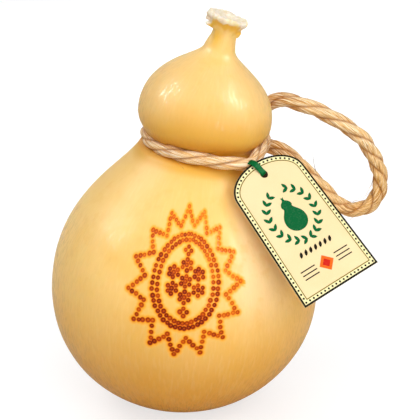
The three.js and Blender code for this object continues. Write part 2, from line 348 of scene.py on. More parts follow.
def make_sisal():
    """Sisal: pale and dark fibres in fine lines along straw strands, with painted shade on the strands' sides
    and broken dark lines of painted shade in the gaps.
    """
    material, tree, shader = start_material("sisal", {"Roughness": 0.6, "Specular IOR Level": 0.15})
    twist, turn, _ = add_node(tree, "SeparateXYZ", {0: add_node(tree, "UVMap", {}).outputs[0]}).outputs
    strands = maths(tree, "MULTIPLY", turn, float(STRANDS))
    strand = maths(tree, "MULTIPLY", maths(tree, "FLOOR", strands), STRANDS_APART)
    fibre = maths(tree, "SUBTRACT", turn, maths(tree, "MULTIPLY", twist, FIBRE_SLANT))

    def lines(along, around):
        """A noise value in lines along the strands."""
        parts = (maths(tree, "MULTIPLY", twist, along), maths(tree, "MULTIPLY", fibre, around), strand)
        return speckle(tree, add_node(tree, "CombineXYZ", dict(enumerate(parts))).outputs[0], 1.0)

    hairline = lines(*HAIRLINES)
    fine = lines(*FINE_LINES)
    broad = lines(*BROAD_LINES)
    off_crown = maths(tree, "ABSOLUTE", maths(tree, "SUBTRACT", maths(tree, "FRACT", strands), 0.5))
    across, _, height = add_node(tree, "SeparateXYZ", {0: object_place(tree)}).outputs
    on_loop = ramp(tree, across, *LOOP_STARTS)
    # Lit and shaded copies of the loop's tones, as painted light: paler high on the loop.
    high = ramp(tree, height, *LIT_HIGH_ON_LOOP)
    shaded_low_straw = mix(tree, ramp(tree, across, *IN_BEND), SHADED_LOW_STRAW, BEND_STRAW)
    straw = mix(tree, on_loop, NECK_STRAW, mix(tree, high, shaded_low_straw, LIT_HIGH_STRAW))
    # Painted shade on the loop where it passes beside the head.
    head_shade = maths(tree, "MULTIPLY", on_loop, ramp(tree, across, *SHADE_BESIDE_HEAD, 0.0, HEAD_SHADE_SHARE))
    straw = mix(tree, head_shade, straw, HEAD_SHADE_STRAW)
    pale = mix(tree, on_loop, NECK_PALE, mix(tree, high, SHADED_LOW_PALE, LIT_HIGH_PALE))
    dark = mix(tree, on_loop, NECK_DARK, mix(tree, high, SHADED_LOW_DARK, LIT_HIGH_DARK))
    shade = tint(tree, straw, fine, *PALE_FINE, pale)
    shade = tint(tree, shade, hairline, *PALE_HAIRS, pale)
    shade = tint(tree, shade, broad, *DARK_BROAD, dark)
    shade = tint(tree, shade, hairline, *DARK_HAIRS, dark)
    # Painted shade on the strands' sides.
    shade = tint(tree, shade, off_crown, *STRAND_SIDE_SHADE)
    uneven = maths(tree, "MULTIPLY", maths(tree, "ADD", fine, broad), CREASE_UNEVENNESS)
    crease = ramp(tree, maths(tree, "ADD", off_crown, uneven), *CREASE)
    broken = ramp(tree, lines(*GAP_BREAKS), *GAP_BREAK, *GAP_STRENGTHS)
    # Painted shade in the gaps between the strands, broken up along them.
    gap = mix(tree, on_loop, NECK_GAP_SHADE, LOOP_GAP_SHADE)
    shade = mix(tree, maths(tree, "MULTIPLY", crease, broken), shade, gap)
    relief = maths(tree, "ADD", hairline, maths(tree, "ADD", fine, broad))
    finish_material(tree, shader, shade, relief, strength=0.7, depth=0.0003)
    return material


sisal = make_sisal()
loop_shape = bmesh.new()
add_rope(loop_shape, NECK_LENGTH, ROPE_LENGTH)
hang_loop = add_piece("hang_loop_rope", loop_shape, sisal)
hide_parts("hang_loop")


# Loose sisal fibres stand off the rope where its yarns have broken. They are single stiff hairs, straw to
# brown, held by the twist of the strands at one end. A few are long and thicker.
HAIR_COUNT_PER_METRE = 460
HAIR_RADIUS = 0.00010
HAIR_LENGTHS = (0.002, 0.009)
LONG_HAIR_SHARE = 0.07
LONG_HAIR_RADIUS = 0.00019
LONG_HAIR_LENGTHS = (0.009, 0.017)
SHORT_HAIR_POWER = 2.2
HAIR_ROOT_SHARE = 0.86
HAIR_LEAST_LIFT = 0.1
HAIR_MORE_LIFT = 0.5
HAIR_CURL = 0.35
HAIR_BEND = 0.5
HAIR_TAPER = 0.7
HAIR_STEPS = 6
HAIR_SIDES = 4
HAIR_SEED = 11
FINE_JOIN_GAP = 1e-7
BARE_AT_HEAD = 0.010
BARE_AT_ENDS = 0.004
# Brown and straw in patches: how fine they are per metre, the limits of their noise and the two tones.
HAIR_PATCHES = (120.0, 0.4, 0.6, colour(112, 80, 46), colour(196, 156, 106))


def add_hair(shape, root, heading, lift, length, bend, radius):
    """One thin fibre that starts under the rope's skin, follows its heading and curls away."""
    across = heading.cross(lift).normalized()
    made = bmesh.ops.create_grid(shape, x_segments=HAIR_STEPS, y_segments=HAIR_SIDES, size=1)
    for corner in made["verts"]:
        share = (corner.co.x + 1) / 2
        angle = corner.co.y * math.pi
        thick = radius * (1 - HAIR_TAPER * share)
        middle = root + length * (share * heading + HAIR_CURL * share**1.5 * lift + bend * share**2 * across)
        corner.co = middle + thick * (math.cos(angle) * across + math.sin(angle) * lift)


def add_hairs(shape, start, end, draw):
    """Scatters loose fibres over a stretch of the rope."""
    for _ in range(round((end - start) * HAIR_COUNT_PER_METRE)):
        run = start + draw.random() * (end - start)
        point, direction, side = rope_frames[round(run / ROPE_STEP)]
        angle = draw.random() * math.tau
        lift = math.cos(angle) * side + math.sin(angle) * direction.cross(side)
        root = point + lift * rope_radius(run) * HAIR_ROOT_SHARE
        forward = direction if draw.random() < 0.5 else -direction
        heading = (forward + (HAIR_LEAST_LIFT + HAIR_MORE_LIFT * draw.random() ** 2) * lift).normalized()
        long = draw.random() < LONG_HAIR_SHARE
        shortest, longest = LONG_HAIR_LENGTHS if long else HAIR_LENGTHS
        length = shortest + (longest - shortest) * draw.random() ** SHORT_HAIR_POWER
        radius = LONG_HAIR_RADIUS if long else HAIR_RADIUS
        add_hair(shape, root, heading, lift, length, HAIR_BEND * (draw.random() - 0.5), radius)
    bmesh.ops.remove_doubles(shape, verts=shape.verts, dist=FINE_JOIN_GAP)


def make_mottle_group():
    """A shader group that goes unevenly from one tone to another, by a noise between two limits."""
    group = bpy.data.node_groups.new("mottle", "ShaderNodeTree")
    values = [(name, "Float") for name in ("Scale", "Detail", "Roughness", "Low", "High")]
    for name, kind in [("Place", "Vector"), *values, ("First", "Color"), ("Second", "Color")]:
        group.interface.new_socket(name, in_out="INPUT", socket_type="NodeSocket" + kind)
    for name, kind in (("Tone", "Color"), ("Grain", "Float")):
        group.interface.new_socket(name, in_out="OUTPUT", socket_type="NodeSocket" + kind)
    given = group.nodes.new("NodeGroupInput").outputs
    result = group.nodes.new("NodeGroupOutput").inputs
    grain = speckle(group, given["Place"], given["Scale"], given["Detail"], given["Roughness"])
    tone = mix(group, ramp(group, grain, given["Low"], given["High"]), given["First"], given["Second"])
    group.links.new(tone, result["Tone"])
    group.links.new(grain, result["Grain"])
    return group


mottle_group = make_mottle_group()


def mottle(tree, scale, low, high, first, second, detail=3.0, roughness=0.55):
    """Puts the mottle group in a material. Gives its tone and its grain."""
    inputs = {
        "Place": object_place(tree), "Scale": scale, "Detail": detail, "Roughness": roughness,
        "Low": low, "High": high, "First": first, "Second": second,
    }
    return add_node(tree, "Group", inputs, node_tree=mottle_group).outputs


def make_hair_fibre():
    """A single dry sisal fibre: brown in some places and straw in others."""
    material, tree, shader = start_material("sisal_fibre", {"Roughness": 0.55, "Specular IOR Level": 0.2})
    shade, _ = mottle(tree, *HAIR_PATCHES)
    finish_material(tree, shader, shade)
    return material


hair_fibre = make_hair_fibre()
hair_draw = random.Random(HAIR_SEED)
loop_hair_shape = bmesh.new()
add_hairs(loop_hair_shape, NECK_LENGTH + BARE_AT_HEAD, ROPE_LENGTH - BARE_AT_ENDS, hair_draw)
loop_hairs = add_piece("hang_loop_fibres", loop_hair_shape, hair_fibre)


# The neck rope is the same sisal, with its own loose fibres. It is pulled tight in one turn round the neck of
# the cheese, where it sinks into the rind, before the loop leaves it behind the head.
neck_shape = bmesh.new()
add_rope(neck_shape, 0, NECK_LENGTH)
neck_rope = add_piece("neck_rope_turn", neck_shape, sisal)
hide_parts("neck_rope")
neck_hair_shape = bmesh.new()
add_hairs(neck_hair_shape, BARE_AT_ENDS, NECK_LENGTH - BARE_AT_ENDS, hair_draw)
neck_hairs = add_piece("neck_rope_fibres", neck_hair_shape, hair_fibre)


# The cheese is one piece of stretched curd: a pear-shaped body, a round head above the tied neck, and a
# short stalk that was torn off by hand. Its thin rind is smooth, waxy and straw yellow.
# The front of the body carries a pattern of small pits that a hot branding iron pressed and browned.
BODY_RADIUS = 0.0734
WIDEST_HEIGHT = 0.066
BODY_DROP = 0.0687
SHOULDER_PULL = 0.0505
NECK_PULL = 0.019
NECK_RADIUS = 0.0304
NECK_HEIGHT = 0.153
NECK_RISE = 0.0017
HEAD_RADIUS = 0.036
HEAD_HEIGHT = 0.1658
HEAD_UNDER_PULL = 0.0084
CROWN_PULL = 0.0242
STALK_RADIUS = 0.0081
STALK_HEIGHT = 0.2038
STALK_PULL = 0.0078
STALK_WAIST = 0.0062
WAIST_DROP = 0.0038
TORN_RADIUS = 0.0104
TORN_HEIGHT = 0.2206
TORN_LIP = 0.0024
TORN_DIMPLE = 0.0026
RIM_BULGE = 0.0006
TOP_RADIUS = 0.84 * TORN_RADIUS
DIMPLE_EDGE = 0.5 * TORN_RADIUS
DIMPLE_FLOOR = 0.4 * TORN_RADIUS
LEAN_FOOT = math.radians(1.4)
LEAN_TIP = math.radians(15.6)
LEAN_POWER = 1.6
AXIS_STEPS = 400
AXIS_SPARE = 0.004
FOOT_STEPS = 60
CURVE_STEPS = 40
CHEESE_AROUND = 160
RING_STEP = 0.0020
TORN_RING_STEP = 0.0005
FINE_RINGS_ABOVE = 0.004
GROOVE_CLEARANCE = -0.0002
GROOVE_SEARCH = 0.012


def arc_points(low, corner, count):
    """A quarter of an ellipse from the foot on the axis out to the widest ring."""
    angles = [math.pi / 2 * k / count for k in range(count + 1)]
    return [(corner[0] * math.sin(a), corner[1] - (corner[1] - low) * math.cos(a)) for a in angles]


def curve_points(start, pull_out, pull_in, end):
    """A cubic curve, without its first point."""
    points = []
    for step in range(1, CURVE_STEPS + 1):
        t = step / CURVE_STEPS
        weights = ((1 - t) ** 3, 3 * t * (1 - t) ** 2, 3 * t * t * (1 - t), t**3)
        pulls = list(zip(weights, (start, pull_out, pull_in, end)))
        points.append(tuple(sum(weight * place[k] for weight, place in pulls) for k in (0, 1)))
    return points


def cheese_outline():
    """The cheese's half outline as radius and height, from the foot up to the dimple in the torn end."""
    widest = (BODY_RADIUS, WIDEST_HEIGHT)
    neck = (NECK_RADIUS, NECK_HEIGHT)
    head = (HEAD_RADIUS, HEAD_HEIGHT)
    stalk = (STALK_RADIUS, STALK_HEIGHT)
    rim = (TORN_RADIUS, TORN_HEIGHT - TORN_LIP)
    top = (TOP_RADIUS, TORN_HEIGHT)
    dimple_height = TORN_HEIGHT - TORN_DIMPLE
    points = arc_points(WIDEST_HEIGHT - BODY_DROP, widest, FOOT_STEPS)
    points += curve_points(widest, (BODY_RADIUS, WIDEST_HEIGHT + SHOULDER_PULL),
                           (NECK_RADIUS, NECK_HEIGHT - NECK_PULL), neck)
    points += curve_points(neck, (NECK_RADIUS, NECK_HEIGHT + NECK_RISE),
                           (HEAD_RADIUS, HEAD_HEIGHT - HEAD_UNDER_PULL), head)
    points += curve_points(head, (HEAD_RADIUS, HEAD_HEIGHT + CROWN_PULL),
                           (STALK_RADIUS, STALK_HEIGHT - STALK_PULL), stalk)
    points += curve_points(stalk, (STALK_WAIST, STALK_HEIGHT + STALK_PULL),
                           (STALK_WAIST, rim[1] - WAIST_DROP), rim)
    points += curve_points(rim, (TORN_RADIUS + RIM_BULGE, TORN_HEIGHT - RIM_BULGE),
                           (TORN_RADIUS, TORN_HEIGHT), top)
    points += curve_points(top, (DIMPLE_EDGE, TORN_HEIGHT), (DIMPLE_FLOOR, dimple_height), (0, dimple_height))
    return np.array(points)


outline = cheese_outline()
outline_run = np.concatenate([[0], np.cumsum(np.linalg.norm(np.diff(outline, axis=0), axis=1))])
OUTLINE_LENGTH = outline_run[-1]


def outline_at(run):
    """The outline's radius and height at a run up it."""
    return (float(np.interp(run, outline_run, outline[:, k])) for k in (0, 1))


def run_at_height(height):
    """The run up the outline at the point nearest to a height."""
    return outline_run[np.argmin(np.abs(outline[:, 1] - height))]


neck_run = run_at_height(NECK_HEIGHT)
stalk_run = run_at_height(STALK_HEIGHT + FINE_RINGS_ABOVE)
rim_run = run_at_height(TORN_HEIGHT - TORN_LIP)
axis_heights = np.linspace(WIDEST_HEIGHT - BODY_DROP, TORN_HEIGHT + AXIS_SPARE, AXIS_STEPS)
axis_lean = LEAN_FOOT + (LEAN_TIP - LEAN_FOOT) * np.clip(axis_heights / TORN_HEIGHT, 0, None) ** LEAN_POWER
axis_step = axis_heights[1] - axis_heights[0]
axis_x = np.cumsum(np.sin(axis_lean)) * axis_step
axis_z = np.cumsum(np.cos(axis_lean)) * axis_step
axis_x = axis_x - np.interp(WIDEST_HEIGHT, axis_heights, axis_x)
axis_z = axis_z - np.interp(WIDEST_HEIGHT, axis_heights, axis_z) + WIDEST_HEIGHT


def place_tree(places):
    """A search tree over places, each known by its number in the list."""
    tree = kdtree.KDTree(len(places))
    for index, place in enumerate(places):
        tree.insert(place, index)
    tree.balance()
    return tree


rope_tree = place_tree([point for point, _, _ in rope_frames])


def bump_at(around, turn, width):
    """A smooth bump in the turn about the axis: one at its middle, nothing beyond its width."""
    off = (around - turn + math.pi) % math.tau - math.pi
    return max(0.0, 1 - (off / width) ** 2) ** 2


# The torn end starts that far below the top, and its crags grow to full size over the ease.
TEAR_DEPTH = 0.016
TEAR_EASE = 0.003
# Its lumps: turn about the axis and half width in radians, then drop below the top, half height and reach
# in metres.
TORN_LUMPS = (
    (-3.10, 0.90, 0.0048, 0.0036, 0.0012),
    (-3.02, 0.20, 0.0044, 0.0009, 0.0017),
    (-2.95, 0.26, 0.0073, 0.0012, 0.0026),
    (-3.10, 1.10, 0.0115, 0.0036, -0.0012),
    (-0.25, 0.85, 0.0050, 0.0028, 0.0003),
    (-0.20, 0.45, 0.0078, 0.0018, 0.0015),
)
LUMPS_FULL_RADIUS = 0.6 * TORN_RADIUS
# The waves of its rim: share of the crags' height, number round the rim and shift.
CRAG_WAVES = ((0.4, 4, 0.4), (0.3, 9, 1.1))
CRAG_HEIGHT = 0.0005
RIM_TILT = 0.0008
# Its raggedness: how fine it is round, out from and up the axis, then its roughness, growth and octaves.
RAGGED_AROUND = 4
RAGGED_OUT = 300
RAGGED_UP = 150
RAGGED_KIND = (0.8, 2.1, 4)
RAGGED_HEIGHT = 0.0007
RAGGED_SWELL = 0.05


def tear(radius, height, around, torn):
    """Makes the stalk's end ragged: a tilted, craggy rim that overhangs on two sides, with small tufts."""
    spread = min(radius / TORN_RADIUS, 1) * torn
    place = round_place(RAGGED_AROUND, around, radius * RAGGED_OUT + height * RAGGED_UP)
    ragged = noise.fractal(place, *RAGGED_KIND)
    crag = sum(share * math.sin(count * around + shift) for share, count, shift in CRAG_WAVES)
    below = TORN_HEIGHT - height
    swell = RAGGED_SWELL * radius * ragged
    for turn, width, drop, tall, reach in TORN_LUMPS:
        swell += reach * bump_at(around, turn, width) * max(0.0, 1 - ((below - drop) / tall) ** 4)
    height += spread * (CRAG_HEIGHT * crag + RAGGED_HEIGHT * ragged - RIM_TILT * math.cos(around))
    return radius + torn * swell * min(1, radius / LUMPS_FULL_RADIUS), height


def cheese_skin(run, around):
    """A point of the cheese's skin and the way it faces, by its run up the outline and its turn round it."""
    radius, height = outline_at(run)
    torn = min(max((height - TORN_HEIGHT + TEAR_DEPTH) / TEAR_EASE, 0), 1)
    if torn > 0:
        radius, height = tear(radius, height, around, torn)
    lean, x, z = (float(np.interp(height, axis_heights, values)) for values in (axis_lean, axis_x, axis_z))
    sideways = math.cos(around)
    outward = Vector((sideways * math.cos(lean), math.sin(around), -sideways * math.sin(lean)))
    return Vector((x, 0, z)) + outward * radius, outward


def groove_depth(skin, outward):
    """How far the rope presses the skin in at a point."""
    depth = 0
    for place, index, _ in rope_tree.find_range(skin, GROOVE_SEARCH):
        reach = rope_radius(index * ROPE_STEP) + GROOVE_CLEARANCE
        away = skin - place
        above = away.dot(outward)
        aside = away.length_squared - above * above
        if aside < reach * reach:
            depth = max(depth, above + math.sqrt(reach * reach - aside))
    return depth


# Where the iron touched: dots on a flat map, across and up from the stamp's middle, with their strength.
# Each oval has its half width, half height, number of dots and strength.
STAMP_TURN = math.radians(-90.4)
STAMP_HEIGHT = 0.0970
STAMP_HALF_WIDTH = 0.0345
STAMP_HALF_HEIGHT = 0.0435
STAMP_CUTS = 6
STAMP_SEED = 5
DOT_PITCH = 0.0027
DOT_RADIUS = 0.00126
DOT_SIZES = (0.9, 1.12)
DOT_JITTER = 0.00025
OVALS = ((0.0184, 0.0244, 50, 0.96), (0.0156, 0.0216, 44, 0.86))
PETALS = 6
PETAL_RING = 3.05 * DOT_PITCH
PETAL_RADIUS = 0.97 * DOT_PITCH
PETAL_MIDDLE_STRENGTH = 1.0
PETAL_STRENGTH = 0.95
ZIGZAG_TEETH = 15
ZIGZAG_TIPS = (0.0316, 0.0392)
ZIGZAG_NOTCHES = (0.0232, 0.0295)
ZIGZAG_STRENGTH = 0.74
STAMP_DIAMOND_HEIGHT = 0.0158
STAMP_DIAMOND_PITCH = 0.7 * DOT_PITCH
STAMP_DIAMOND_STRENGTH = 0.9
# The iron pressed hardest at the lower left: its strength falls by these per metre up and to the right.
FADE_UP = 7
FADE_RIGHT = 5
LEAST_STRENGTH = 0.82
MORE_STRENGTH = 0.3
body_points = FOOT_STEPS + CURVE_STEPS
stamp_run = float(np.interp(STAMP_HEIGHT, outline[:body_points, 1], outline_run[:body_points]))


def dotted_line(corners):
    """Dots along a closed line of straight stretches, evenly spaced on each stretch from corner to corner."""
    dots = []
    for (x0, y0), (x1, y1) in zip(corners, corners[1:] + corners[:1]):
        count = max(1, round(math.hypot(x1 - x0, y1 - y0) / DOT_PITCH))
        dots += [(x0 + (x1 - x0) * k / count, y0 + (y1 - y0) * k / count) for k in range(count)]
    return dots


def oval(width, height, count):
    """Corners round an oval."""
    angles = [math.tau * k / count for k in range(count)]
    return [(width * math.cos(a), height * math.sin(a)) for a in angles]


def ring_place(place, radius):
    """One of the petals' places round a ring."""
    return radius * math.sin(math.tau * place / PETALS), radius * math.cos(math.tau * place / PETALS)


def stamp_pattern():
    """The branded pattern: a dotted flower in two ovals, with a zigzag band round them and two diamonds."""
    pattern = [(x, y, strength) for wide, tall, count, strength in OVALS for x, y in oval(wide, tall, count)]
    for petal in range(PETALS + 1):
        middle = (0, 0) if petal == PETALS else ring_place(petal, PETAL_RING)
        pattern.append((*middle, PETAL_MIDDLE_STRENGTH))
        for place in range(PETALS):
            x, y = ring_place(place, PETAL_RADIUS)
            pattern.append((middle[0] + x, middle[1] + y, PETAL_STRENGTH))
    zigzag = []
    for corner in range(2 * ZIGZAG_TEETH):
        wide, tall = ZIGZAG_NOTCHES if corner % 2 else ZIGZAG_TIPS
        angle = math.pi * corner / ZIGZAG_TEETH
        zigzag.append((wide * math.cos(angle), tall * math.sin(angle)))
    pattern += [(x, y, ZIGZAG_STRENGTH) for x, y in dotted_line(zigzag)]
    for middle in (STAMP_DIAMOND_HEIGHT, -STAMP_DIAMOND_HEIGHT):
        for a in range(2):
            for b in range(2):
                rise = STAMP_DIAMOND_PITCH * (a + b - 1)
                pattern.append((STAMP_DIAMOND_PITCH * (a - b), middle + rise, STAMP_DIAMOND_STRENGTH))
    return pattern


def pressed_dots():
    """The pattern as the iron left it: each dot a little out of place, with its strength and radius."""
    draw = random.Random(STAMP_SEED)
    dots = []
    for x, y, strength in stamp_pattern():
        place = (x + DOT_JITTER * draw.uniform(-1, 1), y + DOT_JITTER * draw.uniform(-1, 1))
        fade = 1 - FADE_UP * y - FADE_RIGHT * x
        pressed = min(1, strength * (LEAST_STRENGTH + MORE_STRENGTH * draw.random()) * fade)
        dots.append((*place, pressed, DOT_RADIUS * draw.uniform(*DOT_SIZES)))
    return dots


dots = pressed_dots()
dot_tree = place_tree([(x, y, 0) for x, y, _, _ in dots])

# A pit's form, by the distance from its middle in radii: its lip, its darkest ring round a lighter middle
# that is painted glint, and its golden halo.
PIT_DEPTH = 0.00038
LEAST_DEPTH_SHARE = 0.5
LIP_END = 1.5
LIP_HEIGHT = 0.1
RING_PLACE = 0.72
GLINT_MIDDLE = 0.62
RING_FADE = 0.6
HALO_END = 2.7
HALO_STRENGTH = 0.38
HALO_POWER = 1.1
HALO_SEARCH = 0.0043


def ring_burn(share):
    """How brown a pit is at a distance from its middle: most on a ring inside its edge; its lighter middle is
    painted glint.
    """
    if share < RING_PLACE:
        return GLINT_MIDDLE + (1 - GLINT_MIDDLE) * (share / RING_PLACE) ** 2
    return max(0, 1 - (share - RING_PLACE) / RING_FADE)


def stamp_mark(across, up):
    """How deep the iron went in at a point of the stamp's map, and how brown the skin is there."""
    depth = 0.0
    burn = 0.0
    for _, index, gap in dot_tree.find_range((across, up, 0), HALO_SEARCH):
        strength, radius = dots[index][2:]
        share = gap / radius
        if share < 1:
            pressed = LEAST_DEPTH_SHARE + (1 - LEAST_DEPTH_SHARE) * strength
            depth = max(depth, (1 - share * share) * PIT_DEPTH * pressed)
        elif share < LIP_END:
            depth -= LIP_HEIGHT * math.sin((share - 1) * math.tau) * PIT_DEPTH
        halo = HALO_STRENGTH * max(0, 1 - share / HALO_END) ** HALO_POWER
        burn = max(burn, strength * ring_burn(share), halo)
    return depth, burn


# The golden tone by the rope is painted shade, under the head and along the rope's lower edge: how far it
# reaches up the head and down the shoulder, and how much of it is there. It is narrower on the head's sides
# and, under the rope, wider on the left.
ROPE_HEIGHTS = (0.118, 0.185)
SHADE_ABOVE_ROPE = 0.033
LESS_AT_LEFT = 0.45
LESS_AT_RIGHT = 0.4
SHADE_BELOW_ROPE = 0.018
SHADE_BELOW_SHARE = 0.28
DEEP_BELOW_ROPE = 0.0075
DEEP_BELOW_SHARE = 0.65
DEEPER_AT_LEFT = 0.35
LEFT_SIDE = -0.03
RIGHT_SIDE = (0.02, 0.045)


def rope_shade(skin):
    """How much painted shade, as a golden tone, the rope's nearness lays on a point of the skin."""
    place, index, gap = rope_tree.find(skin)
    left = min(max(skin.x / LEFT_SIDE, 0), 1)
    right = min(max((skin.x - RIGHT_SIDE[0]) / (RIGHT_SIDE[1] - RIGHT_SIDE[0]), 0), 1)
    if skin.z > place.z:
        return max(0, 1 - gap / (SHADE_ABOVE_ROPE * (1 - LESS_AT_LEFT * left - LESS_AT_RIGHT * right)))
    off_rope = gap - rope_radius(index * ROPE_STEP)
    deep = max(0, 1 - off_rope / (DEEP_BELOW_ROPE * (1 + DEEPER_AT_LEFT * left)))
    return SHADE_BELOW_SHARE * max(0, 1 - off_rope / SHADE_BELOW_ROPE) + DEEP_BELOW_SHARE * deep


# The white of the torn end starts below its rim, in a wandering line that drops at two turns about the axis.
# Each drop has its turn, half width and depth.
WHITE_DROP = 0.0012
WHITE_WANDER = 0.0022
WANDER_AROUND = 3
WANDER_UP = 300
WHITE_DROPS = ((-3.0, 0.6, 0.0068), (-0.1, 1.0, 0.0026))
WHITE_EASE = 0.0016
# Under it runs a golden line, and the stalk has a golden stain on the left of its front.
GOLDEN_LINE_DROP = 0.0015
GOLDEN_LINE_HALF = 0.0035
STAIN_TURN = -2.15
STAIN_WIDTH = 0.8
STAIN_DROP = 0.0105
STAIN_HALF_HEIGHT = 0.0065


def white_edge(run, around):
    """How far below the rim the white of the torn end starts."""
    wander = noise.noise(round_place(WANDER_AROUND, around, run * WANDER_UP))
    drops = sum(depth * bump_at(around, turn, width) for turn, width, depth in WHITE_DROPS)
    return WHITE_DROP + WHITE_WANDER * wander + drops


def stalk_gold(run, around, edge):
    """How golden the stalk is at a point."""
    above_stain = (run - rim_run + STAIN_DROP) / STAIN_HALF_HEIGHT
    above_line = (run - rim_run + edge + GOLDEN_LINE_DROP) / GOLDEN_LINE_HALF
    stain = bump_at(around, STAIN_TURN, STAIN_WIDTH) * max(0.0, 1 - above_stain**2)
    return max(stain, 1 - above_line**2)


def outline_rings():
    """The runs of the mesh's rings up the outline: closer together on the torn end."""
    coarse = np.linspace(0, stalk_run, round(stalk_run / RING_STEP) + 1)
    fine = np.linspace(stalk_run, OUTLINE_LENGTH, round((OUTLINE_LENGTH - stalk_run) / TORN_RING_STEP) + 1)
    return np.concatenate([coarse, fine[1:]])


cheese_shape = bmesh.new()
run_layer = cheese_shape.verts.layers.float.new("run")
burn_layer = cheese_shape.verts.layers.float.new("burn")
torn_layer = cheese_shape.verts.layers.float.new("torn")
golden_layer = cheese_shape.verts.layers.float.new("golden")
rope_shade_layer = cheese_shape.verts.layers.float.new("rope_shade_share")
grain_layer = cheese_shape.verts.layers.float_vector.new("grain")
ring_corners = []
for run in outline_rings():
    radius, _ = outline_at(run)
    corner = cheese_shape.verts.new((radius, 0, run))
    corner[run_layer] = run
    ring_corners.append(corner)
ring_edges = [cheese_shape.edges.new(pair) for pair in zip(ring_corners, ring_corners[1:])]
bmesh.ops.spin(cheese_shape, geom=ring_corners + ring_edges, cent=(0, 0, 0), axis=(0, 0, 1), angle=math.tau,
               steps=CHEESE_AROUND, use_merge=True)
bmesh.ops.remove_doubles(cheese_shape, verts=cheese_shape.verts, dist=FINE_JOIN_GAP)


def stamp_place(corner):
    """A corner's place on the stamp's flat map."""
    around = math.atan2(corner.co.y, corner.co.x)
    turn = (around - STAMP_TURN + math.pi) % math.tau - math.pi
    return turn * BODY_RADIUS, corner[run_layer] - stamp_run


def in_stamp(across, up):
    """Whether a place on the stamp's map is in the part of the skin that the iron touched."""
    return abs(across) < STAMP_HALF_WIDTH and abs(up) < STAMP_HALF_HEIGHT


# The skin is a little uneven, from shaping by hand: how fine that is, and how high. It fades out at the foot.
UNEVENNESS = ((22, 0.0004), (60, 0.00012))
EVEN_FOOT = 0.05
stamp_edges = set()
for face in cheese_shape.faces:
    if all(in_stamp(*stamp_place(corner)) for corner in face.verts):
        stamp_edges.update(face.edges)
bmesh.ops.subdivide_edges(cheese_shape, edges=list(stamp_edges), cuts=STAMP_CUTS, use_grid_fill=True)
for corner in cheese_shape.verts:
    run = corner[run_layer]
    around = math.atan2(corner.co.y, corner.co.x)
    across, up = stamp_place(corner)
    skin, outward = cheese_skin(run, around)
    swell = sum(height * noise.noise(skin * fineness) for fineness, height in UNEVENNESS)
    skin += outward * swell * min(1, run / EVEN_FOOT)
    grain_radius = BODY_RADIUS if run < neck_run else HEAD_RADIUS
    corner[grain_layer] = (grain_radius * math.cos(around), grain_radius * math.sin(around), run)
    if in_stamp(across, up):
        depth, burn = stamp_mark(across, up)
        skin -= outward * depth
        corner[burn_layer] = burn
    if ROPE_HEIGHTS[0] < skin.z < ROPE_HEIGHTS[1]:
        skin -= outward * groove_depth(skin, outward)
        corner[rope_shade_layer] = rope_shade(skin)
    edge = white_edge(run, around)
    corner[torn_layer] = min(max((run - rim_run + edge) / WHITE_EASE, 0), 1)
    corner[golden_layer] = max(0.0, stalk_gold(run, around, edge))
    corner.co = skin
    corner.co.z = max(corner.co.z, 0)

# The rind's own straw, and the white of the torn end: how fine the patches are per metre, the limits of their
# noise and the two tones.
RIND_PATCHES = (30.0, 0.35, 0.65, colour(243, 198, 110), colour(247, 206, 126))
WHITE_PATCHES = (420.0, 0.35, 0.65, colour(226, 210, 182), colour(240, 230, 212))
# Tones that come in with the height: from, to, strength and colour. The gold at the foot is painted shade.
FOOT_SHADE_GOLD = (0.106, 0.0, 1.0, colour(215, 145, 20))
# The tones toward the head and the stalk are painted sheen on the upper faces.
HEAD_SHEEN_STRAW = (0.10, 0.20, 0.8, colour(237, 194, 121))
STALK_SHEEN_CREAM = (0.190, 0.205, 0.8, colour(243, 206, 128))
# Tones that come in with a noise or with a value on the skin, given in the same way.
FIBRE_CREAM = (0.48, 0.72, 0.08, colour(255, 230, 172))
CLOUD_GOLD = (0.50, 0.72, 0.25, colour(234, 180, 84))
WHITE_CREAM = (0.50, 0.66, 0.6, colour(232, 212, 150))
# The two golds by the rope are painted shade.
ROPE_SHADE_GOLD = (0.0, 0.6, 1.0, colour(226, 172, 72))
ROPE_DEEP_SHADE_GOLD = (0.56, 0.90, 0.8, colour(204, 130, 16))
STALK_GOLD = colour(232, 182, 58)
STALK_GOLD_SHARE = 0.8
SCORCH_START = (0.0, 0.16)
SCORCH_TONES = (
    (0.05, colour(248, 190, 80)), (0.26, colour(240, 156, 24)), (0.46, colour(222, 110, 2)),
    (0.66, colour(184, 68, 0)), (0.84, colour(122, 32, 0)), (1.0, colour(72, 12, 0)),
)
# The pale right side of the body is painted sheen, from the light on the right: where it comes in from each
# side, from above, from below and in depth.
RIND_SHEEN = colour(250, 218, 166)
SHEEN_FROM_LEFT = (0.020, 0.034)
SHEEN_FROM_RIGHT = (0.068, 0.042)
SHEEN_FROM_TOP = (0.142, 0.126)
SHEEN_FROM_FOOT = (0.058, 0.098)
SHEEN_IN_FRONT = (0.0, -0.03)
SHEEN_SHARE = 0.85
# How fine the rind's patterns are, per metre: round it and along the pull of the curd, or all ways.
STREAKS = (900.0, 240.0)
PULLED_FIBRES = (760.0, 120.0)
CLOUDS = 110.0
PORES = 650.0
WHITE_CLOUDS = 170.0
PORE_SHARE = 0.35
# The gloss lies in the crinkles of the streaks, with a least and a most of it on the body and on the head.
# The shoulder has none, and torn or scorched skin is rough.
CRINKLE = (0.50, 0.61)
BODY_GLOSS = (0.16, 1.0)
HEAD_GLOSS = (0.0, 0.8)
ABOVE_NECK = (0.145, 0.160)
BELOW_SHOULDER = (0.128, 0.108)
SCORCH_DULL = (0.2, 0.6)
WAXY_AND_DULL = (0.42, 0.7)


def skin_value(tree, name, kind="Fac"):
    """A value that was laid on the corners of the mesh."""
    return add_node(tree, "Attribute", {}, attribute_name=name).outputs[kind]


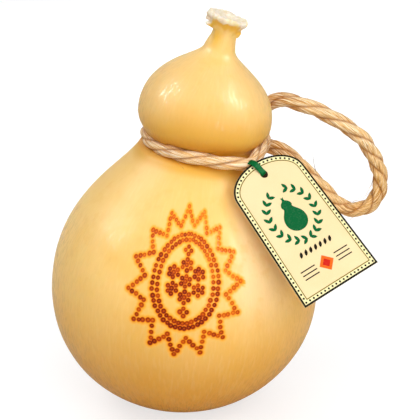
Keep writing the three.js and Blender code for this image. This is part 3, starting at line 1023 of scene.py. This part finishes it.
def scorch_tone(tree, burn):
    """The colour of branded skin, from golden at the edge of a mark to dark brown."""
    scorch = add_node(tree, "ValToRGB", {"Fac": burn})
    stops = scorch.color_ramp.elements
    stops[0].position, stops[0].color = SCORCH_TONES[0]
    stops[1].position, stops[1].color = SCORCH_TONES[-1]
    for position, tone in SCORCH_TONES[1:-1]:
        stops.new(position).color = tone
    return scorch.outputs[0]


def make_rind():
    """Waxy straw rind: golden at its foot and by the rope as painted shade, golden on its stalk, paler on its
    right as painted sheen, with painted sheen toward its head and stalk too, fine pulled streaks that break
    up its gloss, scorched pits and a dull white torn end."""
    material, tree, shader = start_material("rind", {
        "Subsurface Weight": 0.35, "Subsurface Radius": (1.0, 0.55, 0.18), "Subsurface Scale": 0.004,
        "Coat Roughness": 0.2, "Coat IOR": 1.3, "IOR": 1.25,
    })
    place = object_place(tree)
    across, depth, height = add_node(tree, "SeparateXYZ", {0: place}).outputs
    grain = skin_value(tree, "grain", "Vector")

    def pulled(around, along):
        """A noise value drawn out along the pull of the curd."""
        stretched = add_node(tree, "Mapping", {"Vector": grain, "Scale": (around, around, along)}).outputs[0]
        return speckle(tree, stretched, 1.0, detail=1.0, roughness=0.5)

    streak = pulled(*STREAKS)
    shade, _ = mottle(tree, *RIND_PATCHES, roughness=0.5)
    for tone in (FOOT_SHADE_GOLD, HEAD_SHEEN_STRAW, STALK_SHEEN_CREAM):
        shade = tint(tree, shade, height, *tone)
    # Painted sheen on the right of the body.
    pale = ramp(tree, depth, *SHEEN_IN_FRONT, 0.0, SHEEN_SHARE)
    for value, edge in ((across, SHEEN_FROM_LEFT), (across, SHEEN_FROM_RIGHT),
                        (height, SHEEN_FROM_TOP), (height, SHEEN_FROM_FOOT)):
        pale = maths(tree, "MULTIPLY", pale, ramp(tree, value, *edge))
    shade = mix(tree, pale, shade, RIND_SHEEN)
    shade = tint(tree, shade, pulled(*PULLED_FIBRES), *FIBRE_CREAM)
    shade = tint(tree, shade, speckle(tree, place, CLOUDS, roughness=0.6), *CLOUD_GOLD)
    golden = maths(tree, "MULTIPLY", skin_value(tree, "golden"), STALK_GOLD_SHARE)
    shade = mix(tree, golden, shade, STALK_GOLD)
    # Painted shade by the rope, as golden tones.
    rope_shade_share = skin_value(tree, "rope_shade_share")
    for tone in (ROPE_SHADE_GOLD, ROPE_DEEP_SHADE_GOLD):
        shade = tint(tree, shade, rope_shade_share, *tone)
    burn = skin_value(tree, "burn")
    shade = mix(tree, ramp(tree, burn, *SCORCH_START), shade, scorch_tone(tree, burn))
    torn = skin_value(tree, "torn")
    white, _ = mottle(tree, *WHITE_PATCHES)
    white = tint(tree, white, speckle(tree, place, WHITE_CLOUDS, detail=2.0), *WHITE_CREAM)
    shade = mix(tree, torn, shade, white)
    dull = maths(tree, "MAXIMUM", torn, ramp(tree, burn, *SCORCH_DULL))
    tree.links.new(ramp(tree, dull, 0.0, 1.0, *WAXY_AND_DULL), shader.inputs["Roughness"])
    on_head = ramp(tree, height, *ABOVE_NECK)
    least, most = (ramp(tree, on_head, 0.0, 1.0, *shares) for shares in zip(BODY_GLOSS, HEAD_GLOSS))
    crinkle = add_node(tree, "MapRange", {
        "Value": streak, "From Min": CRINKLE[0], "From Max": CRINKLE[1], "To Min": least, "To Max": most,
    }).outputs[0]
    off_shoulder = maths(tree, "MAXIMUM", ramp(tree, height, *BELOW_SHOULDER), on_head)
    glossy = maths(tree, "MULTIPLY", maths(tree, "SUBTRACT", 1.0, dull), off_shoulder)
    tree.links.new(maths(tree, "MULTIPLY", glossy, crinkle), shader.inputs["Coat Weight"])
    pores = maths(tree, "MULTIPLY", speckle(tree, place, PORES, detail=2.0, roughness=0.5), PORE_SHARE)
    finish_material(tree, shader, shade, maths(tree, "ADD", streak, pores), strength=0.12, depth=0.0003)
    return material


cheese = add_piece("cheese_pear", cheese_shape, make_rind())
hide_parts("cheese")


# The hang tag is stiff cream card, cut with a round top and a punched hole, and printed on its front.
# It leans back on the cheese and hangs from the neck rope by a band through the hole.
TAG_THICKNESS = 0.0008
BOARD_THICKNESS = 0.0004
TAG_TOP_WIDTH = 0.0435
TAG_FOOT_WIDTH = 0.0478
HOLE_TO_TOP = 0.0079
HOLE_TO_SPRING = 0.0060
HOLE_TO_FOOT = 0.0698
TAG_HOLE_RADIUS = 0.0021
TAG_HOLE_PLACE = (0.0419, -0.0338, 0.1425)
TAG_TURN = math.radians(16)
TAG_RECLINE = math.radians(40.6)
TAG_ROLL = math.radians(24.3)
TAG_BOW = 0.0004
TAG_RINGS = 6
ARCH_STEPS = 64
OUTLINE_SPACING = 0.0012
CARD_CLOUDS = (60.0, 0.3, 0.7, colour(234, 207, 156), colour(236, 211, 162))
CARD_FIBRES = 1500.0
FIBRE_TONE = (0.5, 0.75, 0.2, colour(242, 224, 186))
tag_place = (Matrix.Translation(TAG_HOLE_PLACE) @ Matrix.Rotation(TAG_TURN, 4, "Z")
             @ Matrix.Rotation(math.pi / 2 - TAG_RECLINE, 4, "X") @ Matrix.Rotation(TAG_ROLL, 4, "Z"))


def tag_outline(inset=0.0, spacing=OUTLINE_SPACING):
    """The card's outline, or a line that far inside it, as evenly spaced points from the left foot corner."""
    slope = (TAG_FOOT_WIDTH - TAG_TOP_WIDTH) / 2 / (HOLE_TO_FOOT - HOLE_TO_SPRING)
    foot = -HOLE_TO_FOOT + inset
    arch = TAG_TOP_WIDTH / 2 - inset
    rise = HOLE_TO_SPRING + HOLE_TO_TOP - inset
    foot_half = arch + slope * (-HOLE_TO_SPRING - foot)
    corners = [(-foot_half, foot), (-arch, -HOLE_TO_SPRING)]
    for step in range(1, ARCH_STEPS + 1):
        angle = math.pi * step / ARCH_STEPS
        corners.append((-arch * math.cos(angle), -HOLE_TO_SPRING + rise * math.sin(angle)))
    corners += [(foot_half, foot), (-foot_half, foot)]
    arch_end = ARCH_STEPS + 1
    points = []
    for start, end in ((0, 1), (1, arch_end), (arch_end, arch_end + 1), (arch_end + 1, arch_end + 2)):
        stretch = even_line([(x, y, 0) for x, y in corners[start:end + 1]], spacing)
        points += [(p.x, p.y) for p in stretch[:-1]]
    return points


def lay_on_card(shape, lift):
    """Bends flat shapes with the card and puts them in the card's place, that far off its front."""
    for corner in shape.verts:
        bow = TAG_BOW * (1 - (corner.co.x / TAG_FOOT_WIDTH * 2) ** 2)
        corner.co = tag_place @ Vector((corner.co.x, corner.co.y, corner.co.z + bow + lift))


def add_loop(shape, points):
    """A closed line of edges through flat points."""
    corners = [shape.verts.new((x, y, 0)) for x, y in points]
    return [shape.edges.new(pair) for pair in zip(corners, corners[1:] + corners[:1])]


card_shape = bmesh.new()
card_edge = tag_outline()
hole_edge = []
for x, y in card_edge:
    reach = math.hypot(x, y)
    hole_edge.append((TAG_HOLE_RADIUS * x / reach, TAG_HOLE_RADIUS * y / reach))
card_loops = add_loop(card_shape, card_edge) + add_loop(card_shape, hole_edge)
bmesh.ops.bridge_loops(card_shape, edges=card_loops)
spokes = [edge for edge in card_shape.edges if not edge.is_boundary]
bmesh.ops.subdivide_edges(card_shape, edges=spokes, cuts=TAG_RINGS, use_grid_fill=True)
bmesh.ops.recalc_face_normals(card_shape, faces=card_shape.faces)
if card_shape.faces[:][0].normal.z < 0:
    bmesh.ops.reverse_faces(card_shape, faces=card_shape.faces)
bmesh.ops.solidify(card_shape, geom=card_shape.faces[:], thickness=BOARD_THICKNESS)
lay_on_card(card_shape, TAG_THICKNESS / 2 - max(corner.co.z for corner in card_shape.verts))


def make_card():
    """Cream card: faint clouding and fine paper fibres."""
    material, tree, shader = start_material("cream_card", {"Roughness": 0.55, "Specular IOR Level": 0.15})
    fibre = speckle(tree, object_place(tree), CARD_FIBRES, roughness=0.6)
    shade, _ = mottle(tree, *CARD_CLOUDS, detail=2.0)
    shade = tint(tree, shade, fibre, *FIBRE_TONE)
    finish_material(tree, shader, shade, fibre, strength=0.2, depth=0.0001)
    return material


tag = add_piece("tag_card", card_shape, make_card(), smooth=False)
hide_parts("tag")


# The print on the card is flat ink: a dark edge line and a row of small diamonds in a pale border, a fine
# olive rule, a green wreath of leaves round a pear-shaped cheese, a row of dark leaves, and an orange
# lozenge with a red middle between plain dark rules.
PRINT_LIFT = 0.00005
PRINT_CUT = 0.002
INK_PATCHES = (900.0, 0.45, 0.8)
INK_FADE = 0.02
PALE_INK = (242, 232, 176)
DARK_INK = (26, 22, 8)
OLIVE_INK = (118, 98, 14)
GREEN_INK = (0, 92, 46)
ORANGE_INK = (226, 100, 26)
RED_INK = (200, 34, 18)
EDGE_MARGIN = 0.00003
EDGE_LINE = 0.0010
BORDER_OVERLAP = 0.0002
OLIVE_INSET = 0.0030
OLIVE_LINE = 0.0005
BORDER_SEARCH_STEP = 0.0002
DIAMOND_INSET = 0.0020
DIAMOND_SPACING = 0.0024
DIAMOND_HALF = 0.00072
LEAF_STEPS = 12
LEAF_FULLNESS = 0.8
ROW_HEIGHT = -0.0462
ROW_HALF_COUNT = 3
ROW_SPACING = 0.0031
ROW_SLANT = math.radians(62)
ROW_LEAF = (0.0036, 0.0017)
LOZENGE_HEIGHT = -0.0560
LOZENGE_HALF = 0.0046
LOZENGE_MIDDLE_HALF = 0.0025
RULE_ENDS = (0.0062, 0.0152)
RULE_SPACING = 0.0022
RULE_HALF = 0.0003
EMBLEM_HEIGHT = -0.0255
WREATH_WIDTH = 0.0132
WREATH_HEIGHT = 0.0148
WREATH_START = -80
WREATH_SWEEP = 148
WREATH_LEAVES = 9
WREATH_LEAF = (0.0042, 0.0018)
WREATH_LEAF_LEAN = 0.75
WREATH_LEAF_OFFSET = 0.0014
PEAR_SCALE = 0.088
PEAR_MIDDLE = 0.1
PEAR_DROP = 0.0005
PEAR_POINT_STEP = 6


def make_ink(name, tone):
    """Printing ink on card: almost flat, with the faint unevenness of the paper under it."""
    material, tree, shader = start_material(name, {"Roughness": 0.6, "Specular IOR Level": 0.04})
    faded = [channel + INK_FADE * (1 - channel) for channel in tone[:3]] + [1]
    shade, _ = mottle(tree, *INK_PATCHES, tone, faded)
    finish_material(tree, shader, shade)
    return material


def add_patch(shape, points):
    """A flat filled shape."""
    shape.faces.new([shape.verts.new((x, y, 0)) for x, y in points])


def add_diamond(shape, x, y, half):
    """A flat diamond."""
    add_patch(shape, [(x - half, y), (x, y - half), (x + half, y), (x, y + half)])


def add_border_line(shape, inset, width):
    """A line of that width along the card's outline, that far inside it."""
    outer = tag_outline(inset)
    inner = tag_outline(inset + width)
    tree = place_tree(even_line([(x, y, 0) for x, y in inner + inner[:1]], BORDER_SEARCH_STEP))
    nearest = [tuple(tree.find((x, y, 0))[0][:2]) for x, y in outer]
    bmesh.ops.bridge_loops(shape, edges=add_loop(shape, outer) + add_loop(shape, nearest))


def add_print(name, shape, tone, layer=1):
    """Finishes one colour of the print, or the painted shade behind the hole, as a thin piece that follows
    the card's bow.
    """
    bmesh.ops.triangulate(shape, faces=shape.faces)
    cuts = round(TAG_FOOT_WIDTH / PRINT_CUT)
    for cut in range(1, cuts):
        across = TAG_FOOT_WIDTH * (cut / cuts - 0.5)
        everything = shape.verts[:] + shape.edges[:] + shape.faces[:]
        bmesh.ops.bisect_plane(shape, geom=everything, plane_co=(across, 0, 0), plane_no=(1, 0, 0))
    lay_on_card(shape, TAG_THICKNESS / 2 + layer * PRINT_LIFT)
    piece = add_piece(name, shape, make_ink(name + "_ink", colour(*tone)), smooth=False)


def leaf(middle, heading, length, width):
    """A pointed leaf: two bowed sides that meet at both ends."""
    shares = [step / LEAF_STEPS for step in range(LEAF_STEPS + 1)]
    sides = [((t - 0.5) * length, math.sin(math.pi * t) ** LEAF_FULLNESS * width / 2) for t in shares]
    sides += [(x, -y) for x, y in sides[-2:0:-1]]
    cos, sin = math.cos(heading), math.sin(heading)
    return [(middle[0] + x * cos - y * sin, middle[1] + x * sin + y * cos) for x, y in sides]


border_shape = bmesh.new()
add_border_line(border_shape, EDGE_LINE - BORDER_OVERLAP, OLIVE_INSET - EDGE_LINE + 2 * BORDER_OVERLAP)
add_print("tag_print_border", border_shape, PALE_INK)

dark_shape = bmesh.new()
add_border_line(dark_shape, EDGE_MARGIN, EDGE_LINE)
for x, y in tag_outline(DIAMOND_INSET, DIAMOND_SPACING):
    add_diamond(dark_shape, x, y, DIAMOND_HALF)
for step in range(-ROW_HALF_COUNT, ROW_HALF_COUNT + 1):
    add_patch(dark_shape, leaf((ROW_SPACING * step, ROW_HEIGHT), ROW_SLANT, *ROW_LEAF))
for side in (-1, 1):
    near, far = sorted(side * end for end in RULE_ENDS)
    for rise in (-RULE_SPACING, 0.0, RULE_SPACING):
        low = LOZENGE_HEIGHT + rise - RULE_HALF
        high = LOZENGE_HEIGHT + rise + RULE_HALF
        add_patch(dark_shape, [(near, low), (far, low), (far, high), (near, high)])
add_print("tag_print_dark", dark_shape, DARK_INK, 2)

olive_shape = bmesh.new()
add_border_line(olive_shape, OLIVE_INSET, OLIVE_LINE)
add_print("tag_print_olive", olive_shape, OLIVE_INK, 2)

green_shape = bmesh.new()
for side in (-1, 1):
    for step in range(WREATH_LEAVES):
        angle = math.radians(WREATH_START + WREATH_SWEEP * step / (WREATH_LEAVES - 1))
        x = side * WREATH_WIDTH * math.cos(angle)
        y = EMBLEM_HEIGHT + WREATH_HEIGHT * math.sin(angle)
        along = math.atan2(WREATH_HEIGHT * math.cos(angle), -side * WREATH_WIDTH * math.sin(angle))
        for lean in (-WREATH_LEAF_LEAN, WREATH_LEAF_LEAN):
            offset = WREATH_LEAF_OFFSET * lean
            place = (x - offset * math.sin(along), y + offset * math.cos(along))
            add_patch(green_shape, leaf(place, along + lean, *WREATH_LEAF))
pear_place = EMBLEM_HEIGHT - PEAR_DROP
right_side = [(PEAR_SCALE * radius, pear_place + PEAR_SCALE * (height - PEAR_MIDDLE))
              for radius, height in outline[PEAR_POINT_STEP::PEAR_POINT_STEP]]
add_patch(green_shape, right_side + [(-x, y) for x, y in right_side[::-1]])
add_print("tag_print_green", green_shape, GREEN_INK)

orange_shape = bmesh.new()
add_diamond(orange_shape, 0, LOZENGE_HEIGHT, LOZENGE_HALF)
add_print("tag_print_orange", orange_shape, ORANGE_INK)
red_shape = bmesh.new()
add_diamond(red_shape, 0, LOZENGE_HEIGHT, LOZENGE_MIDDLE_HALF)
add_print("tag_print_red", red_shape, RED_INK, 2)


# A small round dark brown sheet lies on the back of the card, behind the hole: painted shade for the dark
# inside the hole, beside the band where the band goes through it.
HOLE_SHADE_RADIUS = 0.0034
HOLE_SHADE_CORNERS = 32
HOLE_SHADE_LAYER = -1 - BOARD_THICKNESS / PRINT_LIFT
HOLE_SHADE_BROWN = (38, 24, 10)
hole_shade_shape = bmesh.new()
add_patch(hole_shade_shape, oval(HOLE_SHADE_RADIUS, HOLE_SHADE_RADIUS, HOLE_SHADE_CORNERS))
add_print("tag_hole_shade", hole_shade_shape, HOLE_SHADE_BROWN, HOLE_SHADE_LAYER)


# The band is a flat strip of green rubber. It comes out between the rope's strands, lies over the card's
# upper edge, turns through the hole and runs back behind the card to the rope.
BAND_THICKNESS = 0.0008
BAND_WIDTH = 0.0033
BAND_BEND_RADIUS = 0.0011
BAND_BEND_PLACE = 0.0016
BAND_FRONT_REACH = 0.0104
BAND_BACK_REACH = 0.0066
BAND_TURN = math.radians(15)
BAND_DIP = 0.0022
BAND_DIP_SHARE = 0.3
BAND_ARCH = 0.0010
BAND_FRONT_STEPS = 30
BAND_BEND_STEPS = 24
BAND_STEP = 0.00015
BAND_SECTION = 24
BAND_CORNERS = 0.6
BAND_END_THICKNESS = 0.2
BAND_END_WIDTH = 0.05
RUBBER_PATCHES = (1200.0, 0.35, 0.7, colour(0, 86, 40), colour(0, 108, 54))
band_middle = BAND_BEND_RADIUS + BAND_THICKNESS / 2
band_upright = Matrix.Rotation(math.pi / 2 + BAND_TURN, 4, "Z") @ Matrix.Rotation(math.pi / 2, 4, "X")
band_place = tag_place @ band_upright


def band_side_view():
    """The band's middle line from the rope to behind the card, as places along and out of the card."""
    points = []
    for step in range(BAND_FRONT_STEPS + 1):
        share = step / BAND_FRONT_STEPS
        along = BAND_FRONT_REACH + (BAND_BEND_PLACE - BAND_FRONT_REACH) * share
        dip = BAND_DIP * max(0.0, 1 - share / BAND_DIP_SHARE) ** 2
        points.append((along, band_middle + BAND_ARCH * math.sin(math.pi * share) ** 2 - dip))
    for step in range(BAND_BEND_STEPS + 1):
        angle = math.pi / 2 + math.pi * step / BAND_BEND_STEPS
        points.append((BAND_BEND_PLACE + band_middle * math.cos(angle), band_middle * math.sin(angle)))
    points.append((BAND_BACK_REACH, -band_middle))
    return even_line([(x, y, 0) for x, y in points], BAND_STEP)


def squared(value):
    """A wave's value, fuller than a round one, which gives the band's section its flat sides."""
    return math.copysign(abs(value) ** BAND_CORNERS, value)


band_shape = bmesh.new()
band_frames = untwisted_frames(band_side_view())
band_steps = len(band_frames) - 1
band_grid = bmesh.ops.create_grid(band_shape, x_segments=band_steps, y_segments=BAND_SECTION, size=1)
for corner in band_grid["verts"]:
    index = round((corner.co.x + 1) / 2 * band_steps)
    point, direction, side = band_frames[index]
    to_end = min(index, band_steps - index) * BAND_STEP
    narrow = math.sqrt(max(0.0, 1 - max(0.0, 1 - to_end / (BAND_WIDTH / 2)) ** 2))
    section = corner.co.y * math.pi
    thick = squared(math.cos(section)) * BAND_THICKNESS / 2 * max(narrow, BAND_END_THICKNESS)
    wide = squared(math.sin(section)) * BAND_WIDTH / 2 * max(narrow, BAND_END_WIDTH)
    out = Vector((-direction.y, direction.x, 0))
    corner.co = band_place @ (point + out * thick + Vector((0, 0, wide)))
close_tube(band_shape)


def make_rubber():
    """Green rubber with a dull sheen and a fine moulded grain."""
    material, tree, shader = start_material("green_rubber", {"Roughness": 0.4, "Specular IOR Level": 0.06})
    shade, grain = mottle(tree, *RUBBER_PATCHES)
    finish_material(tree, shader, shade, grain, strength=0.2, depth=0.0001)
    return material


band = add_piece("tag_band_strip", band_shape, make_rubber())
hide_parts("tag_band")


# The studio has a plain white floor that runs out of view and one wide soft light above the camera. Soft
# washes from the sides, low in front and behind fill the shadows, and a white card at each side gives the
# gloss. The floor throws back less light than it shows, as a dull table does.
FLOOR_SIZE = 8.0
FLOOR_BOUNCE = colour(200, 192, 180)
FLOOR_SEEN = colour(170, 170, 170)
FLOOR_GLOW = colour(214, 214, 214)
NO_GLOW = colour(0, 0, 0)
ROOM_LIGHT = 0.30
ROOM_GLOSS = 0.65
MIDDLE = (0, 0, 0.11)
floor_shape = bmesh.new()
bmesh.ops.create_grid(floor_shape, x_segments=1, y_segments=1, size=FLOOR_SIZE / 2)
floor_mesh = bpy.data.meshes.new("floor")
floor_shape.to_mesh(floor_mesh)
floor_shape.free()
floor_material, floor_tree, floor_shader = start_material(
    "white_floor", {"Roughness": 0.9, "Specular IOR Level": 0.0, "Emission Strength": 1.0})
seen = add_node(floor_tree, "LightPath", {}).outputs["Is Camera Ray"]
finish_material(floor_tree, floor_shader, mix(floor_tree, seen, FLOOR_BOUNCE, FLOOR_SEEN))
floor_tree.links.new(mix(floor_tree, seen, NO_GLOW, FLOOR_GLOW), floor_shader.inputs["Emission Color"])
floor = bpy.data.objects.new("floor", floor_mesh)
floor.data.materials.append(floor_material)
bpy.context.collection.objects.link(floor)


def add_lamp(name, kind, place, **settings):
    """A light that faces the middle of the cheese."""
    light = bpy.data.lights.new(name, kind)
    for setting, value in settings.items():
        setattr(light, setting, value)
    lamp = bpy.data.objects.new(name, light)
    lamp.location = place
    lamp.rotation_euler = (Vector(MIDDLE) - Vector(place)).to_track_quat("-Z", "Y").to_euler()
    bpy.context.collection.objects.link(lamp)
    return lamp


overhead = add_lamp("overhead_light", "SUN", (0.02, -0.80, 1.05), energy=1.70, angle=math.radians(70))
left_wash = add_lamp("left_wash", "AREA", (-0.70, -0.13, 0.96), energy=2.2, size=0.4)
right_wash = add_lamp("right_wash", "AREA", (0.68, -0.42, 0.84), energy=2.0, size=0.4)
add_lamp("low_fill", "AREA", (0.48, -0.92, 0.22), energy=3.0, size=0.45)
back_fill = add_lamp("back_fill", "AREA", (-0.15, 0.95, 0.42), energy=3.2, size=0.6)
left_card = add_lamp("left_card", "AREA", (-1.72, -0.01, 1.78), energy=82.0, size=1.3)
right_card = add_lamp("right_card", "AREA", (0.80, -0.20, 0.84), energy=15.0, size=0.55)
for lamp in (overhead, left_wash, right_wash, back_fill):
    lamp.visible_glossy = False
for lamp in (left_card, right_card):
    lamp.visible_diffuse = False
world = bpy.data.worlds.new("studio")
world.use_nodes = True
background = world.node_tree.nodes["Background"]
background.inputs["Color"].default_value = (1, 1, 1, 1)
reflected = add_node(world.node_tree, "LightPath", {}).outputs["Is Glossy Ray"]
glow = ramp(world.node_tree, reflected, 0.0, 1.0, ROOM_LIGHT, ROOM_GLOSS)
world.node_tree.links.new(glow, background.inputs["Strength"])
bpy.context.scene.world = world
bpy.context.scene.view_settings.view_transform = "Standard"
